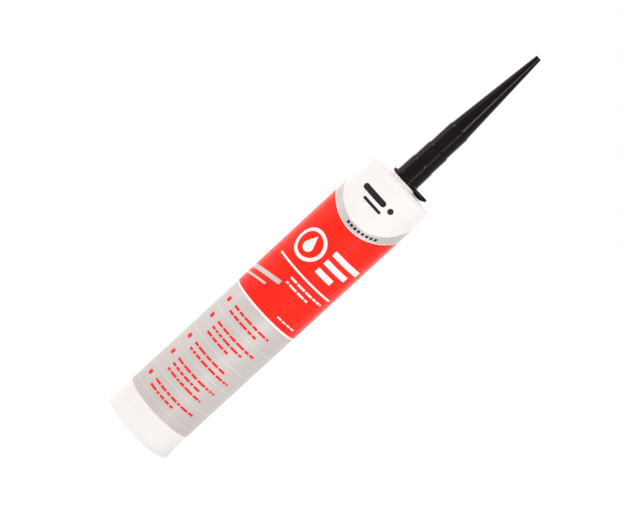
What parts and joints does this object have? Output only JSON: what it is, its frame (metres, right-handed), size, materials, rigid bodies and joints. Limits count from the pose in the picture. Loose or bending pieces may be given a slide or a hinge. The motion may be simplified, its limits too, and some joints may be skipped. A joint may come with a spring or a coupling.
{
  "type": "caulk tube",
  "caption": "Sealant cartridge for a hand gun: moulded tube with printed panels, cup piston, paste filling and a screwed-on stepped nozzle on a flange with one tab.",
  "frame": {"origin": "centre of the rear rim, in the plane that the cartridge stands on", "axes": "+Z along the axis towards the nozzle, -Y towards the printed front, +X to the right of the front"},
  "size_m": [0.05, 0.05, 0.3287],
  "materials": {
    "tube_plastic": "satin moulded polyethylene",
    "paste": "smooth soft paste",
    "piston_plastic": "satin moulded polyethylene",
    "nozzle_plastic": "semi-gloss moulded polyethylene",
    "silver_ink": "silver-grey printing ink",
    "red_ink": "orange-red printing ink"
  },
  "bodies": {
    "cartridge": {"cartridge": "tube_plastic", "sealant": "paste", "silver_print": "silver_ink", "red_print": "red_ink"},
    "piston": {"piston": "piston_plastic"},
    "nozzle": {"nozzle": "nozzle_plastic"}
  },
  "joints": [
    {"name": "piston_slide", "type": "slide", "parent": "cartridge", "child": "piston", "axis": [0, 0, 1], "range_m": [0, 0.175], "deforming": ["sealant"]},
    {"name": "nozzle_lift", "type": "slide", "parent": "cartridge", "child": "nozzle", "axis": [0, 0, 1], "range_m": [0, 0.035]}
  ]
}
